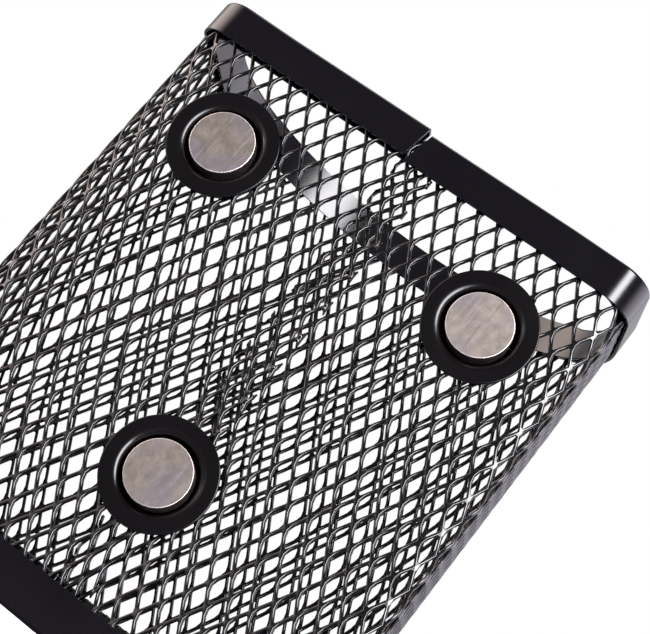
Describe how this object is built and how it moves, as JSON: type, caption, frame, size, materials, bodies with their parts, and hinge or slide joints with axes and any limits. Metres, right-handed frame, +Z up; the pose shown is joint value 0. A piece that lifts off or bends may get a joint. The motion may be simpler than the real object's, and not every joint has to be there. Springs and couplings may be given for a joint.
{
  "type": "magnetic storage box",
  "caption": "Half-round open-top storage box of black expanded steel mesh with folded rims and disc magnets in pressed dishes on its flat back, to hang on a steel surface.",
  "frame": {"origin": "bottom centre of the bounding box, on the surface that the box stands on", "axes": "+Z up, +Y out of the flat back with the magnets, the curved front faces -Y, +X to the right of a person who faces the front"},
  "size_m": [0.08, 0.0506, 0.092],
  "materials": {
    "black_powder_coat": "satin black powder coat over sheet steel",
    "nickel_plate": "satin nickel plate, lightly scuffed",
    "clear_glue": "cured clear glue"
  },
  "bodies": {
    "root": {"mesh_wall": "black_powder_coat", "mesh_floor": "black_powder_coat", "top_rim": "black_powder_coat", "base_rim": "black_powder_coat", "magnet_dish_upper_left": "black_powder_coat", "magnet_dish_upper_right": "black_powder_coat", "magnet_dish_lower": "black_powder_coat", "disc_magnet_upper_left": "nickel_plate", "disc_magnet_upper_right": "nickel_plate", "disc_magnet_lower": "nickel_plate", "magnet_glue_upper_left": "clear_glue", "magnet_glue_upper_right": "clear_glue", "magnet_glue_lower": "clear_glue", "clamp_ring_upper_left": "black_powder_coat", "clamp_ring_upper_right": "black_powder_coat", "clamp_ring_lower": "black_powder_coat"}
  },
  "joints": []
}
